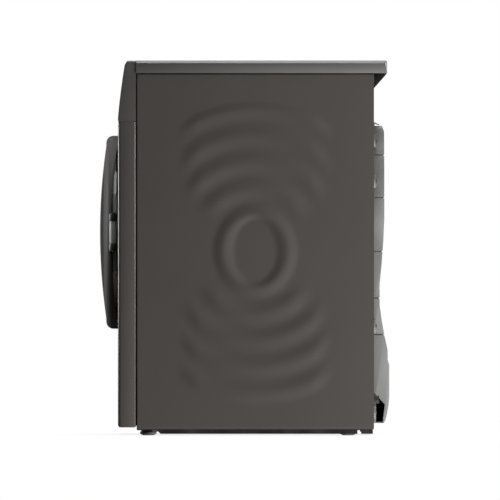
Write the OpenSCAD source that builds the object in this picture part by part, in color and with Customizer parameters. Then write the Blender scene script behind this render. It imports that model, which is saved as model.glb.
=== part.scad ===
// Compact condenser clothes dryer with a round side-hinged door.
// The origin is under the middle of the machine, on the floor. +Z is up and the door faces -Y.

/* [Cabinet] */
// Width over the worktop
worktop_w = 598; // [596:1:600]
// Overall height
height = 842; // [840:1:846]
// Front face of the steel front panel, from the middle of the depth
front_y = -284; // [-285:1:-283]
// Front edge of the side panels
side_front_y = -242; // [-243:0.5:-241.5]
// Rear edge of the side panels
rear_y = 291; // [290:0.5:292]
// Rear edge of the worktop
worktop_rear_y = 320.5; // [316:0.5:324]
// Thickness of the worktop
worktop_t = 28.5; // [24:0.5:32]
// Lower edge of the control panel
control_z = 705.5; // [702:0.5:708]
// Thickness of the sheet steel
sheet = 1; // [0.8:0.1:1.2]
// Thickness of the moulded plastic walls
wall = 3; // [2.5:0.5:3]

/* [Side panel embossing] */
// Centre of the embossing along the depth
emboss_y = 24.5; // [0:0.5:40]
// Centre of the embossing above the floor
emboss_z = 414; // [400:1:430]
// Spacing of the curved beads
bead_pitch = 60; // [50:1:62]
// Height of a bead over the sheet
bead_h = 1.4; // [0.6:0.1:1.5]

/* [Door] */
// Height of the centre of the door
door_z = 456.5; // [450:0.5:460]
// Radius of the door
door_r = 218; // [214:0.5:220]
// Rise of the door's middle over the front panel
door_bulge = 42; // [40:0.5:44]
// Radius of the loading opening
mouth_r = 172; // [170:0.5:174]
// Hinge axis, to the right of the middle
hinge_x = 221; // [220:0.5:224]

/* [Drum and drive] */
// Height of the drum axis
drum_z = 500; // [498:0.5:502]
// Outer radius of the drum
drum_r = 283; // [278:0.5:284]
// Motor and fan axis, to the right of the middle
motor_x = 40; // [38:0.5:42]
// Height of the motor and fan axis
motor_z = 125; // [124:0.5:126]
// Radius of the groove that the belt runs in on the motor shaft
pulley_r = 9; // [8:0.5:10]
// Middle of the belt along the depth
belt_y = 50; // [46:0.5:54]
// Radius of the fan wheel
fan_r = 78; // [70:0.5:78]

/* [Feet] */
// Distance of the feet from the middle of the width
foot_x = 252; // [248:1:256]
// Front feet along the depth
foot_front_y = -216; // [-218:0.5:-214]
// Rear feet along the depth
foot_rear_y = 233; // [231:0.5:235]
// Radius of a foot
foot_r = 18.5; // [16:0.5:20]

/* [Controls] */
// Radius of the programme dial
dial_r = 24; // [22:0.5:26]
// Height of the dial and the buttons
control_row_z = 768; // [766:1:770]
// Depth of the condensate tank
tank_l = 440; // [400:5:460]

/* [Hidden] */
$fn = 96;

// Cabinet planes
side_x = worktop_w / 2 - 2;              // outer face of a side panel
flange = 17;                             // width of the side panels' folded edges
side_z0 = 14;
side_z1 = height - worktop_t - 2;
base_x = side_x - sheet - 0.5;           // outer face of the base tray
base_z0 = 3.6;
floor_z = 16;                            // floor that the machinery stands on
base_top = 44;
panel_z0 = 18;                           // lower edge of the front panel
front_back_y = side_front_y - 2.6;       // rear edge of the front panel
bulkhead_y = side_front_y + sheet + 0.1;
bulkhead_t = 4;
back_y = rear_y - 2 * sheet;             // front face of the rear panel

// Service flap low on the left, hinged along its lower edge
flap_x0 = -268;
flap_x1 = -42;
flap_z1 = 188;
flap_y = front_y + 8;                    // hinge axis
flap_z = 46;

// Door
door_front_y = front_y - door_bulge;
rim_r = 16;                              // rounding of the door's edge
door_gap = 0.3;
cover_r = 150;
ring_in = 166;                           // door's inner ring
ring_out = 203;
ring_y0 = -297;
ring_y1 = -287.6;
slant_x = 87;                            // the door's back slopes forward from here to the hinge
slant = 0.12;
hinge_y = front_y - 10.7;
knuckle_r = 10;
pin_r = 4;
run_gap = 0.05;                          // radial clearance of a running fit

// Stretch of the door's inner ring that carries the hinge leaf
leaf_z0 = 369;
leaf_z1 = 541.6;

// Rear duct
duct_r = 197;                            // rounded upper part, about the drum's axis
duct_z0 = 27;
duct_z1 = drum_z + duct_r;

// Drum
drum_y0 = -230;
drum_y1 = 252;
neck_r = 250;                            // opening in the drum's front rim
shaft_r = 12;
belt_t = 3;
belt_w = 12;
touch = 0.4;                             // gap kept where a turning part rolls on another
roller_r = 20;
roller_angle = 32;
roller_d = drum_r + touch + roller_r;

// Control panel: its face leans back and curves over at the top
panel_t = 3;
lean = 7.5;
start_x = 220;                           // places of the controls along the width
power_x = -52;
display_x = 125;
function face_y(z) = front_y + 0.085 * max(0, z - 712) + 0.00034 * pow(max(0, z - 712), 2);

// Motor shaft and idler
motor_shaft_r = 6;
belt_in = [drum_r + touch, pulley_r + touch];
belt_axis = [motor_x, motor_z - drum_z];
belt_dir = atan2(belt_axis[1], belt_axis[0]);
belt_turn = acos((belt_in[0] - belt_in[1]) / norm(belt_axis));
idler_r = 14;
idler_run = 70;                          // distance of the idler up the belt's right run
belt_out_dir = belt_dir + belt_turn;
belt_normal = [cos(belt_out_dir), sin(belt_out_dir)];
belt_along = [-belt_normal[1], belt_normal[0]];
idler_off = belt_in[1] + belt_t + touch + idler_r;
idler_c = [motor_x, motor_z] + idler_off * belt_normal + idler_run * belt_along;
idler_pivot = [motor_x + 44, motor_z - 14];

// Tank
tank_x0 = -(side_x - flange - sheet - 3.4);
tank_x1 = -80;
tank_z0 = 728;
tank_z1 = 803;
tank_y0 = -262;

// Plain helpers: boxes from corner to corner, and round bars and rings along an axis
module slab(a, b) {
    translate(a) cube(b - a);
}
module rod_y(x, z, y0, y1, r) {
    translate([x, y0, z]) rotate([-90, 0, 0]) cylinder(r = r, h = y1 - y0);
}
module rod_x(y, z, x0, x1, r) {
    translate([x0, y, z]) rotate([0, 90, 0]) cylinder(r = r, h = x1 - x0);
}
module rod_z(x, y, z0, z1, r) {
    translate([x, y, z0]) cylinder(r = r, h = z1 - z0);
}
module ring_y(x, z, y0, y1, ro, ri) {
    difference() {
        rod_y(x, z, y0, y1, ro);
        rod_y(x, z, y0 - 1, y1 + 1, ri);
    }
}
// Turns an outline of radius and depth about an axis that runs from front to back
module turned_y(x, z) {
    translate([x, 0, z]) rotate([-90, 0, 0]) rotate_extrude() children();
}
// Extrudes an outline drawn in depth and height across the width
module across(x0, x1) {
    translate([x0, 0, 0]) rotate([90, 0, 90]) linear_extrude(height = x1 - x0) children();
}
// Extrudes an outline drawn in width and height along the depth
module along_y(y0, y1) {
    translate([0, y1, 0]) rotate([90, 0, 0]) linear_extrude(height = y1 - y0) children();
}
module both_sides() {
    children();
    mirror([1, 0, 0]) children();
}
// Puts a piece on the leaning face of the control panel, its own +Z pointing out of the face
module on_panel(x, z) {
    translate([x, face_y(z), z]) rotate([90 - lean, 0, 0]) children();
}

// Cabinet
module base_tray() color([0.16, 0.16, 0.16]) {
    pocket_r = foot_r + 4;
    difference() {
        union() {
            difference() {
                slab([-base_x, side_front_y + 2, base_z0], [base_x, back_y - 0.5, base_top]);
                slab([-base_x + wall, side_front_y + 2 + wall, floor_z],
                     [base_x - wall, back_y - 0.5 - wall, base_top + 1]);
                slab([-base_x + wall, side_front_y + 2 + wall, base_z0 - 1],
                     [base_x - wall, back_y - 0.5 - wall, floor_z - 4]);
            }
            slab([-94, -225, floor_z - 1], [-94 + wall, 236, base_top]);
            slab([motor_x - 45, 100, floor_z - 1], [motor_x + 45, 205, motor_z - 45]);
            for (x = [-foot_x, foot_x], y = [foot_front_y, foot_rear_y])
                rod_z(x, y, base_z0, base_top, pocket_r + wall);
            for (y = [-120, 0, 120])
                slab([-base_x + 1, y, base_z0 + 2], [base_x - 1, y + wall, floor_z - 3]);
        }
        rod_y(motor_x, motor_z, 90, 215, 52.2);
        across(-base_x - 1, base_x + 1)
            polygon([[-250, 0], [-250, 11.5], [-197, 11.5], [-188, base_z0 - 0.1], [-188, 0]]);
        slab([-base_x - 1, 254, 0], [base_x + 1, 262, 11.8]);
        for (x = [-foot_x, foot_x], y = [foot_front_y, foot_rear_y]) {
            rod_z(x, y, base_z0 - 1, 12, pocket_r);
            rod_z(x, y, 0, 42, 5);
        }
    }
}

module bead(r0, from, sweep) {
    rotate([0, 0, from]) rotate_extrude(angle = sweep) translate([r0, 0])
        polygon([[-14, -sheet / 2], [-14, 0], [-4, bead_h], [4, bead_h], [14, 0], [14, -sheet / 2]]);
}
module side_panel() {
    difference() {
        slab([side_x - flange - sheet, side_front_y, side_z0], [side_x, rear_y, side_z1]);
        slab([side_x - flange - 3, side_front_y + sheet, side_z0 - 1],
             [side_x - sheet, rear_y - sheet, side_z1 - sheet]);
    }
    translate([side_x, emboss_y, emboss_z]) rotate([0, 90, 0]) {
        bead(78, 0, 360);
        for (n = [1 : 4], half = [0, 180]) bead(78 + n * bead_pitch, half - 46 + 4 * n, 92 - 8 * n);
    }
}
module side_panel_right() color([0.27, 0.26, 0.25]) side_panel();
module side_panel_left() color([0.27, 0.26, 0.25]) mirror([1, 0, 0]) side_panel();

module rear_panel() color([0.62, 0.63, 0.64]) {
    difference() {
        slab([-base_x, back_y, side_z0 + 2], [base_x, back_y + sheet, side_z1 - sheet - 0.5]);
        rod_y(0, drum_z, back_y - 1, back_y + 2, 22.2);
        for (n = [0 : 11]) rod_y(92 * cos(30 * n), drum_z + 92 * sin(30 * n), back_y - 1, back_y + 2, 17);
        for (n = [0 : 17])
            rod_y(140 * cos(20 * n), drum_z + 140 * sin(20 * n), back_y - 1, back_y + 2, 17);
        rod_y(motor_x, motor_z, back_y - 1, back_y + 2, fan_r + 5);
        rod_y(-230, 70, back_y - 1, back_y + 2, 9);
        rod_y(240, 80, back_y - 1, back_y + 2, 9);
        for (p = screw_places()) rod_y(p[0], p[1], back_y - 1, back_y + 2, 2);
    }
}
function screw_places() = concat(
    [for (a = [20, 50, 130, 160]) [(duct_r + 12) * cos(a), drum_z + (duct_r + 12) * sin(a)]],
    [for (z = [52, 245], x = [-108, 198]) [x, z]]
);

// Outline of the air duct seen from behind, drawn in by w all round
module duct_outline(w) {
    translate([0, drum_z]) circle(r = duct_r - w);
    polygon([
        [-150 + w, drum_z - 100], [duct_r - w, drum_z - 40],
        [190 - w, 230], [190 - w, duct_z0 + w],
        [-100 + w, duct_z0 + w], [-100 + w, 250]
    ]);
}
module duct_profile(w) {
    polygon([
        [rear_y - 2, duct_z0 + w], [314 - w, duct_z0 + w],
        [317.7 - w, 34], [320.8 - w, 47], [324.6 - w, 68],
        [326 - w, 88], [326 - w, 158],
        [322.5 - w, 170], [322.5 - w, 192],
        [315 - w, 225], [309 - w, 259],
        [304.5 - w, 293], [304.5 - w, 338],
        [309 - w, 385], [313 - w, 440], [315 - w, 488],
        [315 - w, duct_z1 - 14 - w], [311 - w, duct_z1 - w],
        [rear_y - 2, duct_z1 - w]
    ]);
}
module duct_body(w) {
    intersection() {
        along_y(rear_y - (w == 0 ? 0 : 1), 327) duct_outline(w);
        across(-200, 200) duct_profile(w);
    }
}
module rear_air_duct() color([0.62, 0.62, 0.61]) {
    duct_w = 2.5;
    lug_r = 16;
    tab_x = 14;
    difference() {
        union() {
            duct_body(0);
            for (p = screw_places()) rod_y(p[0], p[1], rear_y, rear_y + 4, lug_r);
            // Tab on the top of the duct
            across(-tab_x, tab_x) polygon([
                [rear_y, duct_z1 - 2], [rear_y + 3, duct_z1 - 2],
                [rear_y + 3, duct_z1 + 4.5], [rear_y + 13, duct_z1 + 1],
                [rear_y + 13, duct_z1 + 3.5], [rear_y + 3, duct_z1 + 7.5],
                [rear_y, duct_z1 + 7.5]
            ]);
        }
        duct_body(duct_w);
        for (p = screw_places()) rod_y(p[0], p[1], rear_y - 1, rear_y + 10, 2);
        across(180, 200) polygon([
            [rear_y + 5, duct_z0 - 1], [rear_y + 5, 91],
            [316, 69], [311, duct_z0 - 1]
        ]);
    }
}
module screws() color([0.75, 0.75, 0.76]) {
    for (p = screw_places()) {
        rod_y(p[0], p[1], back_y - 8, rear_y + 4, 2);
        rod_y(p[0], p[1], rear_y + 4, rear_y + 6.5, 4.5);
    }
}

module worktop() color([0.2, 0.2, 0.2]) {
    lip = 18;
    x1 = worktop_w / 2;
    y0 = side_front_y - 1;
    z0 = height - worktop_t;
    difference() {
        union() {
            across(-x1, x1) polygon([[y0, z0], [y0, height], [worktop_rear_y - 4, height],
                                     [worktop_rear_y, height - 5], [worktop_rear_y, z0]]);
            both_sides() for (y = [-200, 255]) slab([x1 - 16, y, side_z1], [x1 - 8, y + 20, z0 + 1]);
        }
        slab([-x1 + lip, y0 + lip, z0 - 1], [x1 - lip, worktop_rear_y - lip, height - 18]);
    }
}
module worktop_brackets() color([0.05, 0.05, 0.05]) {
    both_sides() across(262, 276)
        polygon([[rear_y, height - worktop_t], [rear_y + 29.5, height - worktop_t], [rear_y, 780]]);
}

module front_panel() color([0.26, 0.26, 0.26]) {
    x1 = side_x + 0.5;
    difference() {
        union() {
            difference() {
                slab([-x1, front_y, panel_z0], [x1, front_back_y, control_z - 0.5]);
                slab([-x1 + sheet, front_y + sheet, panel_z0 + sheet],
                     [x1 - sheet, front_back_y + 1, control_z - 0.5 - sheet]);
            }
            for (x = flap_tabs()) slab([x, front_y + sheet / 2, 36], [x + 2, front_y + 16, 56]);
        }
        rod_y(0, door_z, front_y - 1, front_y + 2, mouth_r);
        slab([-208, front_y - 1, door_z - 13], [-184, front_y + 2, door_z + 13]);
        slab([flap_x0 - 1, front_y - 1, 34], [flap_x1 + 1, front_y + sheet, flap_z1 + 1]);
        for (x = flap_tabs()) rod_x(flap_y, flap_z, x - 1, x + 3, 3 + run_gap);
    }
}
function flap_tabs() = [flap_x0 - 3.5, flap_x1 + 1.5];
module service_flap() color([0.26, 0.26, 0.26]) {
    ear_w = 4;
    difference() {
        slab([flap_x0, front_y, flap_z - 8], [flap_x1, front_y + 4, flap_z1]);
        slab([flap_x0 + 3, front_y + 2.5, flap_z + 12], [flap_x1 - 3, front_y + 5, flap_z1 - 3]);
    }
    for (x = [flap_x0, flap_x1 - ear_w])
        slab([x, front_y + 3, flap_z - 5], [x + ear_w, flap_y + 5, flap_z + 5]);
    rod_x(flap_y, flap_z, flap_x0 - 3.5, flap_x0 + 1, 3);
    rod_x(flap_y, flap_z, flap_x1 - 1, flap_x1 + 3.5, 3);
}

module front_bulkhead() color([0.5, 0.5, 0.5]) {
    y0 = bulkhead_y;
    y1 = bulkhead_y + bulkhead_t;
    pocket_x = 90;
    difference() {
        union() {
            slab([-base_x + 1, y0, base_top + 0.5], [base_x - 1, y1, side_z1 - sheet - 1]);
            rod_y(0, door_z, front_y + sheet, y1 + 9, mouth_r + wall);
            ring_y(0, drum_z, y1 - 1, drum_y0 + 8, neck_r - 3.5, neck_r - 10);
            slab([-pocket_x, front_y + 4, 126], [pocket_x, y0 + 1, door_z - 120]);
        }
        rod_y(0, door_z, front_y - 1, y1 + 10, mouth_r);
        slab([-pocket_x + 3, front_y + 6, 129], [pocket_x - 3, y0 - 2, door_z - 100]);
        rod_y(0, door_z, front_y + 6, y0 - 2, mouth_r + 2);
        slab([-pocket_x + 20, y0 - 3, 132], [pocket_x - 20, y1 + 1, 200]);
        slab([tank_x0 - 4, y0 - 1, tank_z0 - 12], [tank_x1 + 4, y1 + 1, height]);
        slab([-270, y0 - 1, 55], [-100, y1 + 1, 185]);
    }
}

module control_face(w) {
    polygon(concat(
        [
            [front_back_y + 1, height - 0.5 - w], [front_y + 21, height - 0.5 - w],
            [front_y + 18.5 + w, height - 3 - w]
        ],
        [for (z = [832 : -12 : 712]) [face_y(z) + w, z]],
        [[front_y + w, control_z + w], [front_back_y + 1, control_z + w]]
    ));
}
module control_panel() color([0.29, 0.28, 0.27]) {
    x1 = side_x + 0.5;
    difference() {
        across(-x1, x1) control_face(0);
        difference() {
            across(-x1 + panel_t, x1 - panel_t) translate([0.01, 0]) control_face(panel_t);
            on_panel(0, control_row_z) translate([0, 0, -14]) cylinder(r = dial_r + 5, h = 20);
        }
        slab([tank_x0 - 1, front_y - 1, tank_z0 - 6], [tank_x1 + 3, front_back_y + 2, tank_z1 + 3]);
        on_panel(0, control_row_z) {
            translate([0, 0, -12]) cylinder(r = dial_r + 1, h = 20);
            translate([0, 0, -20]) cylinder(r = 5, h = 20);
        }
        on_panel(start_x, control_row_z) translate([0, 0, -20]) cylinder(r = 9.5, h = 30);
        on_panel(power_x, control_row_z) translate([0, 0, -20]) cylinder(r = 9.5, h = 30);
        on_panel(display_x, control_row_z) {
            translate([-60, -20, -1.6]) cube([120, 40, 10]);
            translate([-56, -16, -10]) cube([112, 32, 20]);
        }
    }
}
module display_window() color([0.04, 0.04, 0.05]) {
    on_panel(display_x, control_row_z) translate([-59.7, -19.7, -1.6]) cube([119.4, 39.4, 1.4]);
}
module control_board() color([0.1, 0.35, 0.2]) {
    y0 = -258;
    difference() {
        union() {
            slab([-40, y0, 738], [270, y0 + 1.6, 800]);
            slab([150, y0 + 1.5, 745], [262, y0 + 14, 795]);
            slab([70, y0 + 1.5, 750], [130, y0 + 8, 788]);
        }
        rod_y(0, control_row_z, y0 - 1, y0 + 3, 9);
    }
}
module program_dial() color([0.6, 0.6, 0.61]) {
    on_panel(0, control_row_z) {
        difference() {
            translate([0, 0, -11]) cylinder(r = dial_r, h = 10.5);
            translate([0, 0, -1.5]) cylinder(r = dial_r - 5, h = 2);
        }
        translate([-1.2, dial_r - 4.5, -3]) cube([2.4, 3, 2.7]);
        translate([0, 0, -22]) cylinder(r = 4, h = 12);
    }
}
module push_button(x) {
    on_panel(x, control_row_z) {
        translate([0, 0, -8]) cylinder(r = 9, h = 7.5);
        translate([0, 0, -10]) cylinder(r = 3, h = 3);
    }
}
module start_button() color([0.6, 0.6, 0.61]) push_button(start_x);
module power_button() color([0.6, 0.6, 0.61]) push_button(power_x);

// Tank drawer over the drum's left shoulder; its floor slopes to clear the drum
module tank_outline(w) {
    polygon([
        [tank_x0 + w, tank_z0 + w], [-215, tank_z0 + w], [tank_x1 - w, 789 + w],
        [tank_x1 - w, tank_z1 - w], [tank_x0 + w, tank_z1 - w]
    ]);
}
module condensate_tank() color([0.8, 0.82, 0.83]) {
    difference() {
        along_y(tank_y0, tank_y0 + tank_l) tank_outline(0);
        along_y(tank_y0 + 2, tank_y0 + tank_l - 2) tank_outline(2);
        rod_z(-150, tank_y0 + tank_l - 40, tank_z1 - 5, tank_z1 + 1, 14);
    }
}
module tank_front() color([0.29, 0.28, 0.27]) {
    difference() {
        intersection() {
            across(tank_x0, tank_x1 + 2) control_face(0);
            slab([tank_x0, front_y - 1, tank_z0 - 5], [tank_x1 + 2, tank_y0, tank_z1 + 2]);
        }
        across(tank_x0 + 60, tank_x1 - 60)
            polygon([
                [front_y - 5, 742], [front_y + 15, 742], [front_y + 15, 772],
                [front_y + 11, 778], [front_y - 5, 762]
            ]);
    }
}
module tank_housing() color([0.55, 0.55, 0.55]) {
    difference() {
        along_y(bulkhead_y - 1, tank_y0 + tank_l + 8) tank_outline(-2.4);
        along_y(bulkhead_y - 2, tank_y0 + tank_l + 4) tank_outline(-0.8);
        slab([tank_x0, bulkhead_y + 40, tank_z1], [tank_x1 - 20, tank_y0 + tank_l - 80, tank_z1 + 5]);
    }
}

// Door opening, door and its hinge
module door_strike() color([0.2, 0.2, 0.2]) {
    difference() {
        slab([-216, front_y + sheet, door_z - 18], [-178, front_y + 32, door_z + 18]);
        slab([-208, front_y, door_z - 13], [-184, front_y + 28, door_z + 13]);
    }
}
module door_seal() color([0.1, 0.1, 0.1]) {
    ring_y(0, door_z, front_y - 3.2, front_y, mouth_r + 9, mouth_r + 1);
}

function door_face(r) = door_front_y + r * r / 2700;
module rim_profile(w) {
    rim_c = door_r - rim_r;
    cy = door_face(rim_c) + rim_r - 1;
    polygon(concat(
        [for (r = [cover_r : 10 : rim_c - 2]) [r, door_face(r) + w]],
        [for (a = [10 : 10 : 90]) [rim_c + (rim_r - w) * sin(a), cy - (rim_r - w) * cos(a)]],
        [[door_r - w, front_y - door_gap + w], [cover_r, front_y - door_gap + w]]
    ));
}
module behind_slant() {
    linear_extrude(height = height) polygon([
        [slant_x, front_y - door_gap], [door_r + 20, front_y - slant * (door_r + 20 - slant_x)],
        [door_r + 20, front_y + 20], [slant_x, front_y + 20]
    ]);
}
module door_outer_frame() color([0.28, 0.27, 0.27]) {
    difference() {
        union() {
            difference() {
                turned_y(0, door_z) rim_profile(0);
                turned_y(0, door_z) rim_profile(wall);
            }
            ring_y(0, door_z, door_face(cover_r) + 1, -291, cover_r + wall, cover_r);
        }
        behind_slant();
        rod_z(hinge_x, hinge_y, door_z - 47, door_z + 45, knuckle_r + 1.5);
        rod_y(0, door_z, ring_y0 - 0.5, front_y + 1, ring_out + 0.5);
    }
}
module door_cover() color([0.05, 0.05, 0.06]) {
    turned_y(0, door_z) polygon(concat(
        [for (r = [0 : 10 : cover_r - 10]) [r, door_face(r)]],
        [[cover_r - 0.3, door_face(cover_r)], [cover_r - 0.3, door_face(cover_r) + 4]],
        [for (r = [cover_r - 10 : -10 : 0]) [r, door_face(r) + 4]]
    ));
}
module hinge_stretch(g) {
    slab([60, -310, leaf_z0 - g], [door_r + 20, -270, leaf_z1 + g]);
}
module door_inner_frame() color([0.56, 0.56, 0.56]) {
    difference() {
        ring_y(0, door_z, ring_y0, ring_y1, ring_out, ring_in);
        hinge_stretch(0);
    }
}
module door_hinge_leaf() color([0.55, 0.55, 0.55]) {
    z0 = door_z - 26;
    z1 = door_z + 24.6;
    difference() {
        union() {
            intersection() {
                ring_y(0, door_z, ring_y0, ring_y1, ring_out, ring_in);
                hinge_stretch(-0.2);
            }
            slab([195, ring_y0, z0], [hinge_x, -290.5, z1]);
            rod_z(hinge_x, hinge_y, z0, z1, 9);
        }
        rod_z(hinge_x, hinge_y, z0 - 1, z1 + 1, pin_r + run_gap);
    }
}
module door_window() color([0.75, 0.78, 0.8]) {
    turned_y(0, door_z) polygon([
        [0, -214], [100, -215.5], [138, -218], [148, -223], [151, -230],
        [159.5, -288], [165.8, -288], [165.8, -291],
        [156.5, -291], [148, -230], [145.5, -225.5], [137, -221], [100, -218.5], [0, -217]
    ]);
}
module door_latch_hook() color([0.1, 0.1, 0.1]) {
    slab([-200, ring_y1, door_z - 6.5], [-193, -262, door_z + 6.5]);
    slab([-203, -268, door_z - 6.5], [-199, -262, door_z + 6.5]);
}
module door_hinge_bracket() color([0.04, 0.04, 0.04]) {
    difference() {
        union() {
            slab([205, front_y - 2.4, door_z - 49], [238, front_y, door_z + 48]);
            for (z = [door_z - 42.3, door_z + 25.1]) {
                rod_z(hinge_x, hinge_y, z, z + 15.8, knuckle_r);
                slab([hinge_x - 6, hinge_y, z], [hinge_x + 6, front_y - 2, z + 15.8]);
            }
        }
        rod_z(hinge_x, hinge_y, door_z - 60, door_z + 60, pin_r + 0.01);
        slab([hinge_x - 11, front_y - 5, door_z - 26.5], [hinge_x + 11, front_y + 1, door_z + 25.1]);
    }
}
module hinge_pin() color([0.7, 0.7, 0.7]) {
    rod_z(hinge_x, hinge_y, door_z - 44, door_z + 42.5, pin_r);
    rod_z(hinge_x, hinge_y, door_z + 41, door_z + 44, pin_r + 2);
}

// Drum
module drum_shell() color([0.75, 0.76, 0.77]) {
    ring_y(0, drum_z, drum_y0, drum_y1, drum_r, drum_r - sheet);
    ring_y(0, drum_z, drum_y0, drum_y0 + sheet, drum_r - sheet / 2, neck_r);
}
module drum_back() color([0.75, 0.76, 0.77]) {
    difference() {
        rod_y(0, drum_z, drum_y1, drum_y1 + 1.5, drum_r);
        for (ring = [0 : 2], n = [0 : 15]) {
            a = 22.5 * n + 11 * ring;
            rod_y((90 + 28 * ring) * cos(a), drum_z + (90 + 28 * ring) * sin(a),
                  drum_y1 - 1, drum_y1 + 3, 9);
        }
    }
}
module lifter(w) {
    along_y(-190 + w, 225 - w) polygon([
        [-42 + w, -290], [42 - w, -290], [36 - w, -262],
        [12 - 0.6 * w, -228 - w], [-12 + 0.6 * w, -228 - w], [-36 + w, -262]
    ]);
}
module drum_lifters() color([0.85, 0.85, 0.84]) {
    intersection() {
        for (n = [0 : 2]) translate([0, 0, drum_z]) rotate([0, 120 * n, 0]) difference() {
            lifter(0);
            lifter(wall);
        }
        rod_y(0, drum_z, drum_y0 + 20, drum_y1 - 10, drum_r - sheet - 0.3);
    }
}
module drum_shaft() color([0.6, 0.6, 0.62]) {
    rod_y(0, drum_z, drum_y1 + 1.5, drum_y1 + 6, 72);
    rod_y(0, drum_z, drum_y1 + 5, rear_y + 8, shaft_r);
}
module rear_bearing() color([0.4, 0.4, 0.41]) {
    difference() {
        union() {
            rod_y(0, drum_z, back_y - 6, back_y, 40);
            rod_y(0, drum_z, back_y - 18, rear_y + 12, 22);
        }
        rod_y(0, drum_z, back_y - 20, rear_y + 14, shaft_r + run_gap);
    }
}
module drum_felt_seal() color([0.7, 0.68, 0.64])
    ring_y(0, drum_z, bulkhead_y + bulkhead_t, drum_y0 + 6, neck_r - 0.5, neck_r - 3.3);
module roller_axles() color([0.7, 0.7, 0.72]) {
    both_sides() translate([roller_d * sin(roller_angle), 0, drum_z - roller_d * cos(roller_angle)]) {
        rod_y(0, 0, bulkhead_y + bulkhead_t, -200, 5);
        rod_y(0, 0, bulkhead_y + bulkhead_t, -220, 10);
    }
}
module support_roller(side) {
    x = side * roller_d * sin(roller_angle);
    z = drum_z - roller_d * cos(roller_angle);
    difference() {
        union() {
            ring_y(x, z, -216, -204, roller_r, 12);
            rod_y(x, z, -218, -202, 13);
        }
        rod_y(x, z, -230, -195, 5 + run_gap);
    }
}
module support_roller_right() color([0.15, 0.15, 0.15]) support_roller(1);
module support_roller_left() color([0.15, 0.15, 0.15]) support_roller(-1);

// Belt drive: the belt is the loop between the outlines drawn round the drum and the motor pulley
module belt_outline(w) {
    hull() {
        translate([0, drum_z]) circle(r = belt_in[0] + w, $fn = 240);
        translate([motor_x, motor_z]) circle(r = belt_in[1] + w, $fn = 60);
    }
}
module drive_belt() color([0.08, 0.08, 0.08]) {
    along_y(belt_y - belt_w / 2, belt_y + belt_w / 2) difference() {
        belt_outline(belt_t);
        belt_outline(0);
    }
}
module motor_housing() color([0.65, 0.66, 0.68]) {
    difference() {
        union() {
            rod_y(motor_x, motor_z, 100, 205, 52);
            rod_y(motor_x, motor_z, 90, 215, 44);
            slab([idler_pivot[0] - 9, 90, idler_pivot[1] - 9],
                 [idler_pivot[0] + 9, 102, idler_pivot[1] + 9]);
            rod_y(idler_pivot[0], idler_pivot[1], 58, 92, 4);
        }
        rod_y(motor_x, motor_z, 80, 230, motor_shaft_r + run_gap);
    }
}
module motor_shaft() color([0.7, 0.7, 0.72]) {
    rod_y(motor_x, motor_z, belt_y - 12, 313, motor_shaft_r);
    rod_y(motor_x, motor_z, belt_y - 8, belt_y + 8, pulley_r);
    for (s = [-1, 1]) rod_y(motor_x, motor_z, belt_y + s * 8 - 1, belt_y + s * 8 + 1, pulley_r + 4);
}
module fan_wheel() color([0.2, 0.2, 0.21]) {
    difference() {
        union() {
            ring_y(motor_x, motor_z, 268, 270, fan_r, fan_r - 20);
            rod_y(motor_x, motor_z, 312, 314, fan_r);
            rod_y(motor_x, motor_z, 280, 313, 14);
            for (n = [0 : 11]) translate([motor_x, 0, motor_z]) rotate([0, 30 * n, 0])
                slab([28, 269, -1], [fan_r - 1, 313, 1]);
        }
        rod_y(motor_x, motor_z, 200, 313, motor_shaft_r);
    }
}
module idler_arm() color([0.55, 0.56, 0.58]) {
    d = idler_c - idler_pivot;
    y0 = belt_y + 10;
    difference() {
        union() {
            rod_y(idler_pivot[0], idler_pivot[1], y0, y0 + 8, 9);
            rod_y(idler_c[0], idler_c[1], y0, y0 + 4, 8);
            translate([idler_pivot[0], 0, idler_pivot[1]]) rotate([0, atan2(d[0], d[1]), 0])
                slab([-6, y0, 0], [6, y0 + 4, norm(d)]);
            rod_y(idler_c[0], idler_c[1], belt_y - 10, y0 + 1, 3.5);
        }
        rod_y(idler_pivot[0], idler_pivot[1], y0 - 1, y0 + 9, 4 + run_gap);
    }
}
module idler_pulley() color([0.12, 0.12, 0.12]) {
    difference() {
        rod_y(idler_c[0], idler_c[1], belt_y - 8, belt_y + 8, idler_r);
        rod_y(idler_c[0], idler_c[1], belt_y - 9, belt_y + 9, 3.5 + run_gap);
    }
}

// Heat pump
comp_x = 190;
comp_y = -95;
comp_r = 60;
module compressor() color([0.08, 0.08, 0.08]) {
    translate([comp_x, comp_y, 0]) rotate_extrude() polygon(concat(
        [[0, 34]],
        [for (a = [0 : 15 : 90]) [comp_r - 22 + 22 * sin(a), 56 - 22 * cos(a)]],
        [for (a = [90 : 15 : 180]) [comp_r - 30 + 30 * sin(a), 150 - 30 * cos(a)]],
        [[0, 180]]
    ));
    difference() {
        slab([comp_x - 66, comp_y - 66, 30], [comp_x + 66, comp_y + 66, 34.5]);
        for (x = [-54, 54], y = [-54, 54]) rod_z(comp_x + x, comp_y + y, 25, 40, 5);
    }
}
module compressor_mounts() color([0.12, 0.12, 0.12]) {
    for (x = [-54, 54], y = [-54, 54]) {
        rod_z(comp_x + x, comp_y + y, floor_z, 30, 11);
        rod_z(comp_x + x, comp_y + y, 29, 37, 5);
    }
}
module heat_coil(y0, y1) {
    x0 = -285;
    x1 = -100;
    z0 = floor_z + 2;
    z1 = 190;
    for (x = [x0 : 9.2 : x1]) slab([x, y0, z0], [x + 1.2, y1, z1]);
    for (y = [y0 + 18 : 28 : y1 - 12], z = [z0 + 18 : 34 : z1 - 10]) rod_x(y, z, x0 - 3, x1 + 4, 4.5);
}
module evaporator() color([0.7, 0.7, 0.72]) heat_coil(-190, -110);
module condenser_coil() color([0.72, 0.62, 0.5]) heat_coil(-95, 55);
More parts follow.
